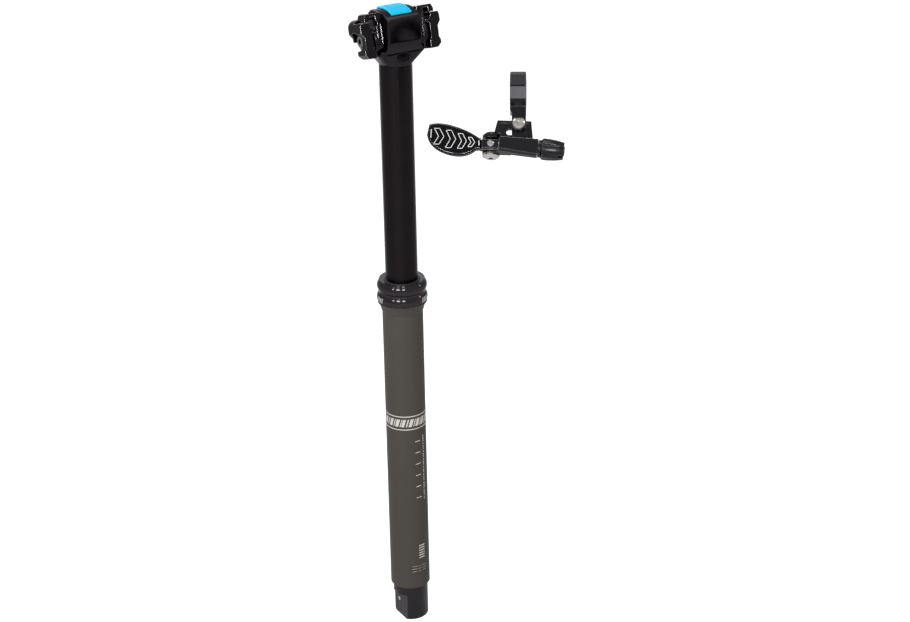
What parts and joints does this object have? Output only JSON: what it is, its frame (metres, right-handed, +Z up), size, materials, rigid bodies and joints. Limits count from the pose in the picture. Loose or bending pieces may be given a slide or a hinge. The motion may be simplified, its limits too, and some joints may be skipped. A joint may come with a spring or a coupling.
{
  "type": "dropper seatpost",
  "caption": "Telescopic seatpost with a sliding upper tube, seal head, side-bolt saddle clamp and cable actuator, shown with its under-bar thumb lever.",
  "frame": {"origin": "on the post's axis, at the top of the plain stretch that enters the seat tube", "axes": "+Z up the post towards the saddle, X along the saddle clamp's bolt, the thumb lever on the -Y side"},
  "size_m": [0.0926, 0.1674, 0.5122],
  "materials": {
    "tube_satin_anodised": "satin black anodised tube, fine-blasted",
    "collar_gloss_anodised": "turned, polished and black anodised",
    "seal_rubber": "moulded nitrile rubber",
    "oil_foam": "open-cell foam soaked with oil",
    "bearing_polymer": "filled bearing polymer",
    "stanchion_gloss_anodised": "polished and hard black anodised",
    "key_brass": "milled brass",
    "cartridge_aluminium": "drawn aluminium, clear anodised",
    "rod_chromed": "ground and hard chromed",
    "pin_steel": "ground steel",
    "plug_satin_anodised": "milled, blasted and black anodised",
    "screw_plated": "plated steel screw",
    "cam_steel": "stamped and tumbled steel",
    "head_forged_satin": "forged, polished and black anodised",
    "pad_blue": "moulded blue plastic",
    "clamp_gloss_anodised": "forged, machined and black anodised",
    "washer_black": "black steel washer",
    "bolt_black_steel": "black-zinc plated steel bolt",
    "band_anodised": "machined and black anodised",
    "bracket_gloss_anodised": "forged and gloss black anodised",
    "lever_gloss": "gloss black anodised with a machined edge",
    "knob_anodised": "turned, milled and black anodised"
  },
  "bodies": {
    "outer": {"outer_tube": "tube_satin_anodised", "seal_collar": "collar_gloss_anodised", "wiper_seal": "seal_rubber", "foam_ring": "oil_foam", "upper_bushing": "bearing_polymer", "lower_plug": "plug_satin_anodised", "actuator_cover": "plug_satin_anodised", "cover_screw": "screw_plated", "cam_pivot_pin": "pin_steel", "cartridge_tube": "cartridge_aluminium", "cartridge_foot": "cartridge_aluminium", "cartridge_gland": "cartridge_aluminium", "bar_band": "band_anodised", "band_screw": "screw_plated", "bracket_screw": "screw_plated"},
    "inner_post": {"stanchion": "stanchion_gloss_anodised", "head_forging": "head_forged_satin", "guide_bush": "bearing_polymer", "anti_rotation_keys": "key_brass", "cartridge_rod": "rod_chromed", "cartridge_piston": "bearing_polymer", "head_pad": "pad_blue"},
    "cradle": {"inner_clamp_left": "clamp_gloss_anodised", "inner_clamp_right": "clamp_gloss_anodised"},
    "left_jaw": {"outer_clamp_left": "clamp_gloss_anodised", "washer_left": "washer_black"},
    "right_jaw": {"outer_clamp_right": "clamp_gloss_anodised", "washer_right": "washer_black", "clamp_nut": "bolt_black_steel"},
    "bolt": {"clamp_bolt": "bolt_black_steel"},
    "valve": {"valve_pin": "pin_steel"},
    "cam": {"actuator_cam": "cam_steel", "cable_anchor": "key_brass"},
    "bracket": {"lever_bracket": "bracket_gloss_anodised", "pivot_bolt": "screw_plated"},
    "lever": {"thumb_lever": "lever_gloss", "pivot_bushes": "bearing_polymer", "return_spring": "pin_steel", "cable_clamp_plate": "bracket_gloss_anodised", "pinch_screw": "screw_plated"},
    "knob": {"adjuster_knob": "knob_anodised"},
    "sleeve": {"adjuster_sleeve": "knob_anodised", "adjuster_stem": "knob_anodised"}
  },
  "joints": [
    {"name": "dropper_travel", "type": "slide", "parent": "outer", "child": "inner_post", "axis": [0, 0, 1], "range_m": [-0.17, 0]},
    {"name": "saddle_tilt", "type": "hinge", "parent": "inner_post", "child": "cradle", "pos_m": [0, 0, 0.2185], "axis": [1, 0, 0], "range_deg": [-10, 10]},
    {"name": "left_jaw_slide", "type": "slide", "parent": "cradle", "child": "left_jaw", "axis": [-1, 0, 0], "range_m": [0, 0.002]},
    {"name": "right_jaw_slide", "type": "slide", "parent": "cradle", "child": "right_jaw", "axis": [1, 0, 0], "range_m": [0, 0.002]},
    {"name": "clamp_bolt_turn", "type": "hinge", "parent": "left_jaw", "child": "bolt", "pos_m": [-0.027, 0, 0.2185], "axis": [-1, 0, 0], "range_deg": [0, 1440]},
    {"name": "remote_shift", "type": "slide", "parent": "outer", "child": "bracket", "axis": [0.8262, -0.5627, -0.0271], "range_m": [-0.0035, 0.004]},
    {"name": "lever_pivot", "type": "hinge", "parent": "bracket", "child": "lever", "pos_m": [0.01778, -0.10612, 0.16039], "axis": [-0.3718, -0.5085, -0.7767], "range_deg": [0, 19], "stiffness_Nm_per_rad": 0.3, "springref_deg": -14.32},
    {"name": "cam_turn", "type": "hinge", "parent": "outer", "child": "cam", "pos_m": [0.003, 0, -0.25], "axis": [0, 1, 0], "range_deg": [0, 28]},
    {"name": "valve_lift", "type": "slide", "parent": "outer", "child": "valve", "axis": [0, 0, 1], "range_m": [0, 0.0014]},
    {"name": "adjuster_turn", "type": "hinge", "parent": "bracket", "child": "knob", "pos_m": [0.04695, -0.13682, 0.16093], "axis": [0.7937, -0.6017, -0.0893], "range_deg": [0, 1440]},
    {"name": "adjuster_out", "type": "slide", "parent": "bracket", "child": "sleeve", "axis": [0.7937, -0.6017, -0.0893], "range_m": [0, 0.0041]}
  ],
  "couplings": [
    {"joint": "left_jaw_slide", "follows": "clamp_bolt_turn", "m_per_rad": 0.00007918},
    {"joint": "right_jaw_slide", "follows": "clamp_bolt_turn", "m_per_rad": 0.00007918},
    {"joint": "cam_turn", "follows": "lever_pivot", "ratio": 1.4545},
    {"joint": "valve_lift", "follows": "lever_pivot", "m_per_rad": 0.00404},
    {"joint": "adjuster_out", "follows": "adjuster_turn", "m_per_rad": 0.00015915}
  ]
}
